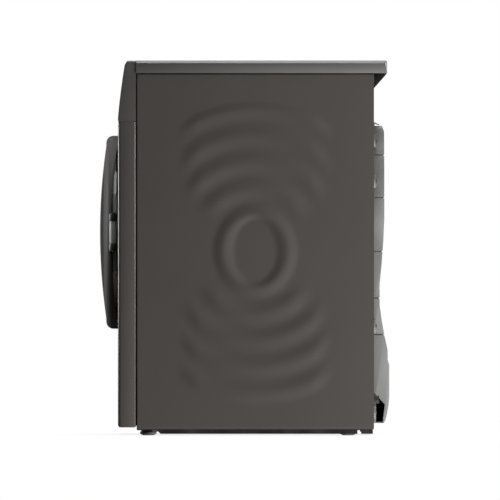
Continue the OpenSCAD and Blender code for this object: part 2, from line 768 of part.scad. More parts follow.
module pipe_run(a, b, r) {
    d = b - a;
    lo = [for (k = [0 : 2]) min(a[k], b[k])];
    turn = abs(d[0]) > 0 ? [0, 90, 0] : abs(d[1]) > 0 ? [-90, 0, 0] : [0, 0, 0];
    translate(lo) rotate(turn) cylinder(r = r, h = norm(d));
}
module pipe(route, r) {
    for (n = [0 : len(route) - 2]) pipe_run(route[n], route[n + 1], r);
    for (n = [1 : len(route) - 2]) translate(route[n]) sphere(r = r);
}
module refrigerant_pipes() color([0.72, 0.42, 0.25]) {
    pipe([
        [-95.9, -150, 122], [40, -150, 122],
        [40, comp_y, 122], [comp_x - comp_r - 0.5, comp_y, 122]
    ], 5);
    pipe([[-95.9, -20, 88], [comp_x, -20, 88], [comp_x, comp_y + comp_r + 0.5, 88]], 4);
}
module heat_exchanger_cover() color([0.5, 0.5, 0.5]) {
    t = 2.5;
    difference() {
        union() {
            slab([-base_x + 4, -225, base_top], [-92, 236, 200]);
            slab([-100, 238 - t, base_top], [128, back_y - 0.5, 212]);
        }
        slab([-base_x + 4 + t, -225 + t, base_top - 1], [-92 - t, 236 - t, 200 - t]);
        slab([-100 - t, 238, base_top - 1], [128 - t, back_y, 212 - t]);
        rod_y(motor_x, motor_z, 230, 240, 12);
        rod_x(-150, 122, -110, -80, 6);
        rod_x(-20, 88, -110, -80, 5);
        slab([-270, -230, base_top + 11], [-110, -220, 185]);
    }
}
module condensate_pump() color([0.85, 0.85, 0.84]) {
    slab([-84, 150, floor_z], [-40, 195, 52]);
    rod_z(-62, 172, 51, 84, 17);
    rod_x(172, 76, -46, -30, 5);
}

module lint_filter() color([0.2, 0.35, 0.5]) {
    difference() {
        slab([-85, front_y + 8, 140], [85, bulkhead_y - 4, door_z - 130]);
        rod_y(0, door_z, front_y, bulkhead_y, mouth_r + 3);
        slab([-82, front_y + 10, 143], [82, bulkhead_y - 6, door_z - 195]);
        for (x = [-58, 0, 58]) slab([x - 22, front_y, 155], [x + 22, bulkhead_y + 5, 245]);
    }
}
module drum_lamp() color([0.9, 0.9, 0.85]) turned_y(70, 655) polygon([
    [0, bulkhead_y + bulkhead_t], [20, bulkhead_y + bulkhead_t],
    [19, -232], [14, -229.5], [0, -228.5]
]);

// Rear services
module mains_gland() color([0.06, 0.06, 0.06]) {
    difference() {
        union() {
            rod_y(240, 80, back_y - 10, rear_y + 12, 9);
            rod_y(240, 80, rear_y - 1, rear_y + 4, 14);
        }
        rod_y(240, 80, back_y - 20, rear_y + 20, 4.5);
    }
}
module drain_spigot() color([0.6, 0.6, 0.6]) {
    difference() {
        union() {
            rod_y(-230, 70, back_y - 14, rear_y + 26, 9);
            rod_y(-230, 70, rear_y - 1, rear_y + 2, 15);
        }
        rod_y(-230, 70, back_y - 20, rear_y + 30, 6.5);
    }
}

module foot(x, y) color([0.05, 0.05, 0.05]) {
    translate([x, y, 0]) rotate_extrude()
        polygon([
            [0, 0], [12.5, 0], [foot_r, 3.5], [foot_r, 9],
            [5 - run_gap, 9], [5 - run_gap, 38], [0, 38]
        ]);
}
module foot_front_right() foot(foot_x, foot_front_y);
module foot_front_left() foot(-foot_x, foot_front_y);
module foot_rear_right() foot(foot_x, foot_rear_y);
module foot_rear_left() foot(-foot_x, foot_rear_y);

base_tray();
side_panel_right();
side_panel_left();
rear_panel();
rear_air_duct();
screws();
worktop();
worktop_brackets();
front_panel();
front_bulkhead();
control_panel();
display_window();
control_board();
tank_housing();
door_strike();
door_hinge_bracket();
hinge_pin();
door_seal();
drum_felt_seal();
rear_bearing();
roller_axles();
drive_belt();
motor_housing();
compressor();
compressor_mounts();
evaporator();
condenser_coil();
refrigerant_pipes();
heat_exchanger_cover();
condensate_pump();
lint_filter();
drum_lamp();
mains_gland();
drain_spigot();
door_outer_frame();
door_cover();
door_inner_frame();
door_window();
door_latch_hook();
door_hinge_leaf();
drum_shell();
drum_back();
drum_lifters();
drum_shaft();
support_roller_right();
support_roller_left();
motor_shaft();
fan_wheel();
idler_arm();
idler_pulley();
program_dial();
start_button();
power_button();
condensate_tank();
tank_front();
service_flap();
foot_front_right();
foot_front_left();
foot_rear_right();
foot_rear_left();
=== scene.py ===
"""Looks of a compact clothes dryer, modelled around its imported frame.

The door and the controls face -Y, +Z is up, and the door's hinge is on the +X side.
Every helper that makes or shapes a piece takes millimetres.
"""

import math

import bmesh
import bpy
import numpy as np
from bpy.props import FloatProperty, FloatVectorProperty, IntProperty, PointerProperty
from mathutils import Matrix, Vector


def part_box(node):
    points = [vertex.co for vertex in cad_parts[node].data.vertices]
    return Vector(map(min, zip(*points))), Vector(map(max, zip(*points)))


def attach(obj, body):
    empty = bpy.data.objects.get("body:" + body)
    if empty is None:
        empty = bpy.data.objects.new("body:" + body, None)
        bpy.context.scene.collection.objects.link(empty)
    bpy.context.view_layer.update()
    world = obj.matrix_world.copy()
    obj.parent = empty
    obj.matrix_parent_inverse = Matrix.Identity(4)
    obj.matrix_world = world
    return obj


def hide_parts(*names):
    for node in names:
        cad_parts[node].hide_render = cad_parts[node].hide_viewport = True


bl_info = {
    "name": "Clothes Dryer",
    "version": (1, 0, 0),
    "blender": (4, 5, 0),
    "location": "View3D > Sidebar > Dryer",
    "description": "Models the visible pieces of a compact clothes dryer around its frame",
    "category": "Object",
}

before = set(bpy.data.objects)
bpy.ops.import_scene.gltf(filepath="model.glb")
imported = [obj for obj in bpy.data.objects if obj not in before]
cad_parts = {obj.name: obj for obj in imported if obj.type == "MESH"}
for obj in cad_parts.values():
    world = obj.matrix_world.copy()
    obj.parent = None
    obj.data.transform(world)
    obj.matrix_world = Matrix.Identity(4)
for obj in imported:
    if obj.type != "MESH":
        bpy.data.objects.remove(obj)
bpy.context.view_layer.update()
MM = 0.001
FULL_TURN = 2 * math.pi


def box_mm(node):
    """Lowest and highest corner of a frame node, in millimetres."""
    low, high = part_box(node)
    return low / MM, high / MM


SIDE_LOW, SIDE_HIGH = box_mm("side_panel_right")
FRONT_LOW, FRONT_HIGH = box_mm("front_panel")
FASCIA_LOW, FASCIA_HIGH = box_mm("control_panel")
TOP_LOW, TOP_HIGH = box_mm("worktop")
DOOR_LOW, DOOR_HIGH = box_mm("door_outer_frame")
DOOR_Z = (DOOR_LOW.z + DOOR_HIGH.z) / 2
DOOR_R = (DOOR_HIGH.z - DOOR_LOW.z) / 2
DOOR_CREST = box_mm("door_cover")[0].y
FRONT_Y = FRONT_LOW.y
REAR_Y = 291
CABINET_X = FRONT_HIGH.x
DRUM_Z = sum(corner.z for corner in box_mm("drum_shell")) / 2
FASCIA_KNEE = 712
FASCIA_LEAN = math.radians(7.5)
CONTROLS_Z = 768
DIAL_X, DISPLAY_X, START_X, POWER_X = 0, 125, 220, -52
DIAL_HOLE_R, DIAL_MARKS = 25.2, 14


# Modelling helpers


def object_mode():
    """Leaves edit mode, so that the mesh takes what was edited."""
    bpy.ops.object.mode_set(mode="OBJECT")


def clear_selection():
    """Leaves edit mode and deselects everything, because an operator acts on all that is selected."""
    if bpy.context.object and bpy.context.object.mode != "OBJECT":
        object_mode()
    bpy.ops.object.select_all(action="DESELECT")


def activate(obj):
    """Selects one piece alone and makes it the active one."""
    clear_selection()
    obj.select_set(True)
    bpy.context.view_layer.objects.active = obj
    return obj


def named(name):
    """Names the piece that was just added, and puts its place into its mesh."""
    obj = bpy.context.object
    obj.name = obj.data.name = name
    bpy.ops.object.transform_apply(location=True, rotation=True, scale=True)
    return obj


def block(name, low, high):
    """A block from corner to corner."""
    clear_selection()
    low, high = Vector(low) * MM, Vector(high) * MM
    bpy.ops.mesh.primitive_cube_add(size=1, location=(low + high) / 2, scale=high - low)
    return named(name)


def rod(name, start, end, radius, vertices=64):
    """A round bar between two points."""
    clear_selection()
    start, end = Vector(start) * MM, Vector(end) * MM
    axis = end - start
    bpy.ops.mesh.primitive_cylinder_add(
        vertices=vertices,
        radius=radius * MM,
        depth=axis.length,
        location=(start + end) / 2,
        rotation=axis.to_track_quat("Z", "Y").to_euler(),
    )
    return named(name)


def outline(name, points):
    """A closed line through the points, made from a round loop with as many corners."""
    clear_selection()
    bpy.ops.mesh.primitive_circle_add(vertices=len(points), radius=1, fill_type="NOTHING")
    obj = named(name)
    for vertex, point in zip(obj.data.vertices, points):
        vertex.co = Vector(point) * MM
    return obj


def edit(obj, mode="FACE"):
    """Opens a piece in edit mode with everything selected."""
    activate(obj)
    bpy.ops.object.mode_set(mode="EDIT")
    bpy.ops.mesh.select_mode(type=mode)
    bpy.ops.mesh.select_all(action="SELECT")


def tidy_mesh(obj):
    """Welds doubled corners, drops loose edges, and turns every face outwards."""
    edit(obj, "VERT")
    bpy.ops.mesh.remove_doubles(threshold=0.00001)
    bpy.ops.mesh.delete_loose()
    bpy.ops.mesh.select_all(action="SELECT")
    bpy.ops.mesh.normals_make_consistent(inside=False)
    object_mode()
    return obj


def across(name, points, x0, x1):
    """A bar across the width whose section is a closed line of depth and height."""
    obj = outline(name, [(x0, y, z) for y, z in points])
    edit(obj, "EDGE")
    bpy.ops.mesh.edge_face_add()
    bpy.ops.mesh.extrude_region_move(TRANSFORM_OT_translate={"value": ((x1 - x0) * MM, 0, 0)})
    return tidy_mesh(obj)


def along(name, points, y0, y1):
    """A bar along the depth whose section is a closed line of width and height."""
    obj = outline(name, [(x, y0, z) for x, z in points])
    edit(obj, "EDGE")
    bpy.ops.mesh.edge_face_add()
    bpy.ops.mesh.extrude_region_move(TRANSFORM_OT_translate={"value": (0, (y1 - y0) * MM, 0)})
    return tidy_mesh(obj)


def turned(name, section, centre=(0, 0, 0), steps=128, upright=False):
    """A closed section of radius and depth, spun about an axis along Y, or along Z if upright."""
    x, y, z = centre
    if upright:
        points = [(x + r, y, z + d) for r, d in section]
    else:
        points = [(x + r, y + d, z) for r, d in section]
    obj = outline(name, points)
    edit(obj, "EDGE")
    axis = (0, 0, 1) if upright else (0, 1, 0)
    bpy.ops.mesh.spin(steps=steps, angle=FULL_TURN, center=Vector(centre) * MM, axis=axis)
    return tidy_mesh(obj)


def modify(obj, kind, **settings):
    """Adds a modifier, sets it up and applies it."""
    activate(obj)
    modifier = obj.modifiers.new(kind.title(), kind)
    for key, value in settings.items():
        setattr(modifier, key, value)
    bpy.ops.object.modifier_apply(modifier=modifier.name)
    return obj


def rounded(obj, width, segments=2, angle=30):
    """Rounds the edges that are sharper than an angle."""
    return modify(
        obj, "BEVEL", width=width * MM, segments=segments, miter_outer="MITER_ARC", harden_normals=False,
        limit_method="ANGLE", angle_limit=math.radians(angle),
    )


def combine(obj, other, operation):
    """Cuts a piece with another one, joins them or keeps what they share. The other one is used up."""
    modify(obj, "BOOLEAN", object=other, operation=operation, solver="EXACT")
    bpy.data.objects.remove(other)
    return obj


def cut(obj, *cutters):
    """Cuts holes in a piece."""
    for cutter in cutters:
        combine(obj, cutter, "DIFFERENCE")
    return obj


def joined(pieces):
    """Makes one piece out of several that don't touch."""
    activate(pieces[0])
    for piece in pieces:
        piece.select_set(True)
    bpy.ops.object.join()
    return pieces[0]


def pick(obj, test, kind="faces"):
    """In edit mode, selects the faces or edges whose middle, in millimetres, and normal pass a test."""
    bpy.ops.mesh.select_mode(type="FACE" if kind == "faces" else "EDGE")
    bpy.ops.mesh.select_all(action="DESELECT")
    mesh = bmesh.from_edit_mesh(obj.data)
    for item in getattr(mesh, kind):
        if kind == "faces":
            chosen = test(item.calc_center_median() / MM, item.normal)
        else:
            chosen = test((item.verts[0].co + item.verts[1].co) / 2 / MM, item)
        item.select_set(bool(chosen))
    mesh.select_flush_mode()
    bmesh.update_edit_mesh(obj.data)


def round_picked(width, segments):
    """In edit mode, rounds the picked edges."""
    bpy.ops.mesh.bevel(offset=width * MM, segments=segments, affect="EDGES")


def smooth(obj, angle=30):
    """Shades a piece smooth up to an angle."""
    activate(obj)
    bpy.ops.object.shade_smooth_by_angle(angle=math.radians(angle))
    return obj


def finished(obj, body, slot, material, *nodes, angle=30):
    """Gives a piece its shading, finish and body, and lets it stand for its frame nodes."""
    smooth(obj, angle)
    obj.data.materials.clear()
    obj.data.materials.append(material)
    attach(obj, body)
    if nodes:
        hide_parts(*nodes)
    return obj


def softened(node, name, body, slot, material, width, segments=2):
    """Replaces a frame node by a copy whose flat faces are made whole and whose edges are rounded."""
    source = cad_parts[node]
    copy = bpy.data.objects.new(node + "_body", source.data.copy())
    bpy.context.scene.collection.objects.link(copy)
    tidy_mesh(copy)
    edit(copy)
    bpy.ops.mesh.dissolve_limited(angle_limit=math.radians(0.2))
    object_mode()
    rounded(copy, width, segments, 40)
    copy.name = name
    return finished(copy, body, slot, material, node)


# Shader helpers


class Wire:
    """A shader socket with arithmetic, so that a pattern reads as a formula."""

    def __init__(self, finish, socket):
        self.finish = finish
        self.socket = socket

    def maths(self, operation, *values):
        return self.finish.node("ShaderNodeMath", {"operation": operation}, dict(enumerate(values)))

    def __add__(self, other):
        return self.maths("ADD", self, other)

    __radd__ = __add__

    def __mul__(self, other):
        return self.maths("MULTIPLY", self, other)

    __rmul__ = __mul__

    def __rsub__(self, other):
        return self.maths("SUBTRACT", other, self)

    def rise(self, low, high):
        """0 below low, 1 above high, smooth between."""
        values = {"Value": self, "From Min": low, "From Max": high}
        return self.finish.node("ShaderNodeMapRange", {"interpolation_type": "SMOOTHSTEP"}, values)


class Nodes:
    """A node tree that is built by adding nodes."""

    def __init__(self, tree):
        self.tree = tree

    def node(self, kind, settings, values, output=0):
        """Adds a node: its settings first, then the values or links of its sockets."""
        node = self.tree.nodes.new(kind)
        for key, value in settings.items():
            setattr(node, key, value)
        for key, value in values.items():
            if isinstance(value, Wire):
                self.tree.links.new(value.socket, node.inputs[key])
            else:
                node.inputs[key].default_value = value
        return Wire(self, node.outputs[output])

    def result(self, wire, output):
        """Links a socket to the tree's output node."""
        self.tree.links.new(wire.socket, self.tree.nodes[output].inputs["Surface"])


class Finish(Nodes):
    """One material, built from nodes."""

    def __init__(self, name, colour, roughness, **surface):
        self.material = bpy.data.materials.new(name)
        self.material.use_nodes = True
        super().__init__(self.material.node_tree)
        self.shader = self.tree.nodes["Principled BSDF"]
        self.shader.inputs["Base Color"].default_value = (*colour, 1)
        self.shader.inputs["Roughness"].default_value = roughness
        for key, value in surface.items():
            self.shader.inputs[key.replace("_", " ").title().replace("Ior", "IOR")].default_value = value
        self.place = self.node("ShaderNodeTexCoord", {}, {}, "Object")

    def stretched(self, scale):
        """The place on the piece, scaled along each axis."""
        return self.node("ShaderNodeMapping", {}, {"Vector": self.place, "Scale": scale})

    def noise(self, scale, detail=3, place=None, roughness=0.5):
        values = {"Vector": place or self.place, "Scale": scale, "Detail": detail, "Roughness": roughness}
        return self.node("ShaderNodeTexNoise", {}, values)

    def cells(self, scale, feature="F1"):
        values = {"Vector": self.place, "Scale": scale}
        return self.node("ShaderNodeTexVoronoi", {"feature": feature}, values, "Distance")

    def axis(self, name):
        """One coordinate on the piece, in metres."""
        return self.node("ShaderNodeSeparateXYZ", {}, {"Vector": self.place}, name)

    def blend(self, factor, first, second):
        """Mixes two colours. Either may be a socket."""
        sockets = {0: factor, 6: first, 7: second}
        values = {key: (*value, 1) if isinstance(value, tuple) else value for key, value in sockets.items()}
        return self.node("ShaderNodeMix", {"data_type": "RGBA"}, values, 2)

    def colour(self, wire):
        self.tree.links.new(wire.socket, self.shader.inputs["Base Color"])
        return self

    def roughness(self, wire):
        self.tree.links.new(wire.socket, self.shader.inputs["Roughness"])
        return self

    def relief(self, height, distance):
        """Bumps the surface by a height from 0 to 1, worth a distance in millimetres."""
        normal = self.node("ShaderNodeBump", {}, {"Height": height, "Distance": distance * MM})
        self.tree.links.new(normal.socket, self.shader.inputs["Normal"])
        return self


def shade(colour, share):
    """A colour made lighter or darker."""
    return tuple(min(1.0, channel * share) for channel in colour)


def painted_steel(name, colour, roughness=0.36):
    """Satin enamel: faint orange peel, slightly uneven gloss and tone."""
    finish = Finish(name, colour, roughness, specular_ior_level=0.45, coat_weight=0.12, coat_roughness=0.25)
    cloud = finish.noise(2.2, 4)
    finish.colour(finish.blend(cloud.rise(0.35, 0.65), shade(colour, 0.97), shade(colour, 1.04)))
    finish.roughness(finish.noise(7, 5) * 0.1 + finish.noise(900, 2) * 0.03 + (roughness - 0.065))
    return finish.relief(finish.noise(420, 2), 0.012).material


def moulded_plastic(name, colour, roughness=0.5, grain=0.03, scale=1300, sheen=0.5):
    """Spark-eroded mouldings: a fine even grain, and a tone that drifts a little."""
    finish = Finish(name, colour, roughness, specular_ior_level=sheen)
    finish.colour(finish.blend(finish.noise(5, 4).rise(0.3, 0.7), shade(colour, 0.94), shade(colour, 1.06)))
    finish.roughness(finish.noise(30, 5) * 0.12 + (roughness - 0.06))
    return finish.relief(finish.noise(scale, 3), grain).material


def sooty_black(name, colour=(0.004, 0.004, 0.004)):
    """Coarse black moulding that hardly shines."""
    finish = Finish(name, colour, 0.9, specular_ior_level=0.12)
    finish.colour(finish.blend(finish.noise(25, 5).rise(0.35, 0.7), colour, shade(colour, 2.5)))
    finish.roughness(finish.noise(60, 4) * 0.1 + 0.84)
    return finish.relief(finish.noise(600, 4), 0.05).material


def plastic_with_painted_shade(name, colour, dark, height):
    """Moulded plastic painted near black above a height in metres, as painted shade of a shadowed recess
    rather than a second colour.
    """
    finish = Finish(name, colour, 0.42)
    grey = finish.blend(finish.noise(5, 4).rise(0.3, 0.7), shade(colour, 0.94), shade(colour, 1.06))
    # Painted shade: above the height the grey turns near black, standing for the shade inside the recess at
    # the top of the door's back.
    finish.colour(finish.blend(finish.axis("Z").rise(height - 0.0005, height + 0.0005), grey, dark))
    finish.roughness(finish.noise(30, 5) * 0.12 + 0.36)
    return finish.relief(finish.noise(1500, 3), 0.02).material


def gloss_black(name, colour=(0.010, 0.010, 0.012)):
    """Polished dark cover with faint wiping marks."""
    finish = Finish(name, colour, 0.12, specular_ior_level=0.35)
    marks = finish.noise(9, 6, finish.stretched((1, 1, 3)))
    finish.colour(finish.blend(marks.rise(0.4, 0.9), colour, shade(colour, 1.6)))
    finish.roughness(marks.rise(0.45, 0.85) * 0.08 + 0.06)
    return finish.relief(finish.noise(6, 2), 0.01).material


def galvanised(name, colour=(0.085, 0.088, 0.090)):
    """Zinc coated sheet: flat crystals of slightly different tone and gloss."""
    finish = Finish(name, colour, 0.5, metallic=0.35)
    crystal = finish.cells(90)
    fine = finish.noise(260, 3)
    tone = crystal.rise(0.1, 0.7) * 0.6 + fine * 0.4
    finish.colour(finish.blend(tone, shade(colour, 0.86), shade(colour, 1.1)))
    finish.roughness(crystal * 0.18 + 0.42)
    return finish.relief(crystal, 0.01).material


def bright_metal(name, colour, roughness):
    """Turned metal, with fine lines round its length."""
    finish = Finish(name, colour, roughness, metallic=1.0)
    lines = finish.noise(40, 4, finish.stretched((1, 90, 1)))
    finish.colour(finish.blend(lines.rise(0.3, 0.7), shade(colour, 0.88), shade(colour, 1.06)))
    finish.roughness(lines * 0.2 + (roughness - 0.1))
    return finish.relief(lines, 0.006).material


def drum_steel(name, colour=(0.55, 0.56, 0.57)):
    """Stainless drum sheet, pressed with a field of small round dimples."""
    finish = Finish(name, colour, 0.28, metallic=1.0)
    dimple = finish.cells(55)
    lines = finish.noise(30, 4, finish.stretched((1, 40, 1)))
    finish.colour(finish.blend(lines.rise(0.3, 0.7), shade(colour, 0.9), shade(colour, 1.05)))
    finish.roughness(lines * 0.16 + 0.2)
    return finish.relief(dimple.rise(0.15, 0.55), 0.5).material


def cast_metal(name, colour):
    """Sand-cast surface with fine pits."""
    finish = Finish(name, colour, 0.5, metallic=0.85)
    pits = finish.noise(380, 6, roughness=0.7)
    finish.colour(finish.blend(pits.rise(0.35, 0.65), shade(colour, 0.8), shade(colour, 1.08)))
    finish.roughness(pits * 0.25 + 0.38)
    return finish.relief(pits, 0.06).material


def fin_stack(name, colour, pitch=2.1):
    """The pressed edges of a stack of thin fins, seen end on, with painted shade darkening the gaps between
    them. Their pitch is in millimetres.
    """
    finish = Finish(name, colour, 0.4, metallic=0.9)
    phase = finish.axis("X") * (FULL_TURN / (pitch * MM))
    edge = phase.maths("SINE", phase) * 0.5 + 0.5
    # Painted shade: the gaps between the fin edges are darkened to about a third of the metal's colour.
    finish.colour(finish.blend(edge, shade(colour, 0.35), colour))
    finish.roughness(finish.noise(50, 4) * 0.2 + 0.3)
    return finish.relief(edge, 0.3).material


def bare_copper(name, colour=(0.60, 0.30, 0.16)):
    """Drawn copper tube with darker heat marks."""
    finish = Finish(name, colour, 0.35, metallic=1.0)
    heat = finish.noise(14, 5)
    finish.colour(finish.blend(heat.rise(0.45, 0.75), colour, (0.30, 0.13, 0.08)))
    finish.roughness(finish.noise(60, 4) * 0.25 + 0.22)
    return finish.relief(finish.noise(500, 2), 0.01).material


def black_enamel(name, colour=(0.012, 0.012, 0.013)):
    """Thick glossy enamel, dipped and a little uneven."""
    finish = Finish(name, colour, 0.3, coat_weight=0.3, coat_roughness=0.15)
    finish.colour(finish.blend(finish.noise(12, 4).rise(0.4, 0.8), colour, shade(colour, 2.2)))
    finish.roughness(finish.noise(18, 5) * 0.2 + 0.2)
    return finish.relief(finish.noise(90, 3), 0.05).material


def rubber(name, colour=(0.016, 0.016, 0.016)):
    """Moulded rubber with a dry bloom."""
    finish = Finish(name, colour, 0.75)
    finish.colour(finish.blend(finish.noise(40, 6).rise(0.45, 0.8), colour, shade(colour, 2.4)))
    finish.roughness(finish.noise(120, 4) * 0.2 + 0.64)
    return finish.relief(finish.noise(1500, 3), 0.04).material


def pressed_felt(name, colour=(0.50, 0.47, 0.42)):
    """Short tangled fibres."""
    finish = Finish(name, colour, 0.95)
    fibres = finish.noise(900, 8, roughness=0.8)
    finish.colour(finish.blend(fibres.rise(0.3, 0.7), shade(colour, 0.75), shade(colour, 1.15)))
    finish.roughness(fibres * 0.1 + 0.88)
    return finish.relief(fibres, 0.35).material


def clear_plastic(name, colour=(0.75, 0.78, 0.80), alpha=0.35):
    """Clear moulding with a light haze."""
    finish = Finish(name, colour, 0.08, ior=1.49, alpha=alpha)
    haze = finish.noise(11, 5)
    finish.colour(finish.blend(haze.rise(0.4, 0.8), colour, shade(colour, 1.12)))
    finish.roughness(haze * 0.1 + 0.05)
    return finish.relief(finish.noise(20, 2), 0.02).material


def circuit_board(name, colour=(0.02, 0.12, 0.05)):
    """Solder mask with a grid of tracks under it."""
    finish = Finish(name, colour, 0.4)
    track = finish.cells(320, "DISTANCE_TO_EDGE").rise(0.03, 0.06)
    finish.colour(finish.blend(track, shade(colour, 2.0), colour))
    finish.roughness(track * 0.15 + 0.3)
    return finish.relief(1 - track, 0.03).material


def glowing(name, colour, strength):
    """A small lit mark behind the display."""
    finish = Finish(name, colour, 0.4, emission_strength=strength)
    finish.shader.inputs["Emission Color"].default_value = (*colour, 1)
    finish.colour(finish.blend(finish.noise(300, 2), shade(colour, 0.9), colour))
    return finish.material


def studio_floor(name, colour):
    """Lit pale paper. It takes soft shadows near the machine and goes over into the white of the backdrop."""
    finish = Finish(name, colour, 0.9)
    finish.colour(finish.blend(finish.noise(3, 3), shade(colour, 0.985), colour))
    reach = finish.node("ShaderNodeVectorMath", {"operation": "LENGTH"}, {0: finish.place}, "Value")
    glow = finish.node("ShaderNodeEmission", {}, {"Color": (1, 1, 1, 1), "Strength": 1.0})
    paper = Wire(finish, finish.shader.outputs["BSDF"])
    share = reach.rise(0.9, 2.2) * 0.2 + 0.8
    finish.result(finish.node("ShaderNodeMixShader", {}, {0: share, 1: paper, 2: glow}), "Material Output")
    return finish.material


def studio_sky(name, strength):
    """A white backdrop, which lights the machine only dimly."""
    world = bpy.data.worlds.new(name)
    world.use_nodes = True
    sky = Nodes(world.node_tree)
    direct = sky.node("ShaderNodeLightPath", {}, {}, "Is Camera Ray")
    dim = sky.node("ShaderNodeBackground", {}, {"Color": (1, 1, 1, 1), "Strength": strength})
    white = sky.node("ShaderNodeBackground", {}, {"Color": (1, 1, 1, 1), "Strength": 1.0})
    sky.result(sky.node("ShaderNodeMixShader", {}, {0: direct, 1: dim, 2: white}), "World Output")
    return world


# Settings


class DryerSettings(bpy.types.PropertyGroup):
    """Sizes and colours that a user would change."""

    ripple_pitch: FloatProperty(
        name="Ripple pitch", description="Distance from one ripple's crest to the next",
        default=0.060, unit="LENGTH",
    )
    ripple_height: FloatProperty(
        name="Ripple height", description="Rise of a ripple over its troughs", default=0.0023, unit="LENGTH",
    )
    ring_height: FloatProperty(
        name="Ring height", description="Rise of the ring round the pressed centre",
        default=0.0028, unit="LENGTH",
    )
    sheet: FloatProperty(
        name="Sheet", description="Thickness of the sheet steel", default=0.0008, unit="LENGTH",
    )
    panel_columns: IntProperty(
        name="Panel columns", description="Mesh columns over the depth of a side panel", default=148, min=40,
    )
    turn_steps: IntProperty(
        name="Turning steps", description="Mesh steps round the door", default=160, min=32,
    )
    body_colour: FloatVectorProperty(
        name="Body", description="Enamel of the steel panels",
        subtype="COLOR", size=3, default=(0.052, 0.047, 0.044),
    )
    fascia_colour: FloatVectorProperty(
        name="Fascia", description="Plastic of the control panel and the door's frame",
        subtype="COLOR", size=3, default=(0.058, 0.053, 0.050),
    )
    top_colour: FloatVectorProperty(
        name="Worktop", description="Laminate of the worktop",
        subtype="COLOR", size=3, default=(0.079, 0.075, 0.072),
    )
    duct_colour: FloatVectorProperty(
        name="Duct", description="Plastic of the rear air duct",
        subtype="COLOR", size=3, default=(0.125, 0.125, 0.122),
    )


def settings():
    return bpy.context.scene.dryer


def paint(name, maker, *args, **values):
    """The dryer's own material of that name, made the first time that it is asked for."""
    own = "dryer_" + name
    return bpy.data.materials.get(own) or maker(own, *args, **values)


def body_enamel():
    return paint("body_enamel", painted_steel, tuple(settings().body_colour))


def fascia_plastic():
    return paint("fascia_plastic", moulded_plastic, tuple(settings().fascia_colour), 0.42, 0.015, 1800)


def black_plastic():
    return paint("black_plastic", moulded_plastic, (0.012, 0.012, 0.012), 0.5)


def duct_plastic():
    return paint("duct_plastic", moulded_plastic, tuple(settings().duct_colour), 0.5, 0.04, 900)


def pale_grey_plastic():
    return paint("pale_grey_plastic", moulded_plastic, (0.26, 0.26, 0.255), 0.42, 0.02, 1500)


def door_ring_plastic():
    # The light grey ring is painted near black above 0.593 m as painted shade of the recess at the top of the
    # door.
    return paint("door_ring_plastic", plastic_with_painted_shade, (0.85, 0.86, 0.86), (0.010, 0.010, 0.010), 0.593)


# Shapes that follow a rule


EMBOSS_Y, EMBOSS_Z = 24.5, 414.0
FLOOR_AXES, CREST_AXES, FOOT_AXES = (43.5, 68.0), (72.0, 83.0), (100.0, 111.0)
LAST_RIPPLE_UP, LAST_RIPPLE_DOWN = 335, 356


def smoothstep(value, low, high):
    """0 below low, 1 above high, smooth between. low may be the greater."""
    share = np.clip((value - low) / (high - low), 0, 1)
    return share * share * (3 - 2 * share)


def ellipse_reach(axes, side, up):
    """Distance from the centre to an ellipse, in the direction of this sine and cosine from the vertical."""
    return 1 / np.sqrt((side / axes[0]) ** 2 + (up / axes[1]) ** 2)


def emboss(y, z):
    """Height pressed into a side panel: a ring about a flat oval, and ripples above and below."""
    ripple, ring = settings().ripple_height / MM, settings().ring_height / MM
    pitch = settings().ripple_pitch / MM
    dy, dz = y - EMBOSS_Y, z - EMBOSS_Z
    reach = np.hypot(dy, dz) + 0.001
    side, up = np.abs(dy) / reach, np.abs(dz) / reach
    floor = ellipse_reach(FLOOR_AXES, side, up)
    crest = ellipse_reach(CREST_AXES, side, up)
    foot = ellipse_reach(FOOT_AXES, side, up)
    bank = np.where(reach < crest, smoothstep(reach, floor, crest), 1 - smoothstep(reach, crest, foot))
    wave = 0.5 - 0.5 * np.cos(FULL_TURN * (reach - FOOT_AXES[1] + 1) / pitch)
    lean = np.degrees(np.arctan2(side, up))
    last = np.where(dz > 0, LAST_RIPPLE_UP, LAST_RIPPLE_DOWN)
    window = 1 - smoothstep(lean, 34, 60)
    window = window * (1 - smoothstep(np.abs(dy), 125, 178)) * (1 - smoothstep(reach, last - 16, last + 4))
    window = window * smoothstep(reach, foot - 4, foot + 6)
    return ring * bank + ripple * wave * window


def fascia_y(z):
    """Depth of the control panel's leaning face at a height, as the frame has it."""
    rise = max(0, z - FASCIA_KNEE)
    return FRONT_Y + 0.085 * rise + 0.00034 * rise * rise


def door_y(r):
    """Depth of the door's domed face at a radius."""
    return DOOR_CREST + r * r / 2700


def on_fascia(obj, x):
    """Moves a piece made about the origin, its own +Z outwards, onto the control panel's leaning face."""
    turn = Matrix.Rotation(math.pi / 2 - FASCIA_LEAN, 4, "X")
    place = Vector((x, fascia_y(CONTROLS_Z), CONTROLS_Z)) * MM
    obj.data.transform(Matrix.Translation(place) @ turn)
    obj.data.update()
    return obj


# Operators, one for each piece or group of like pieces


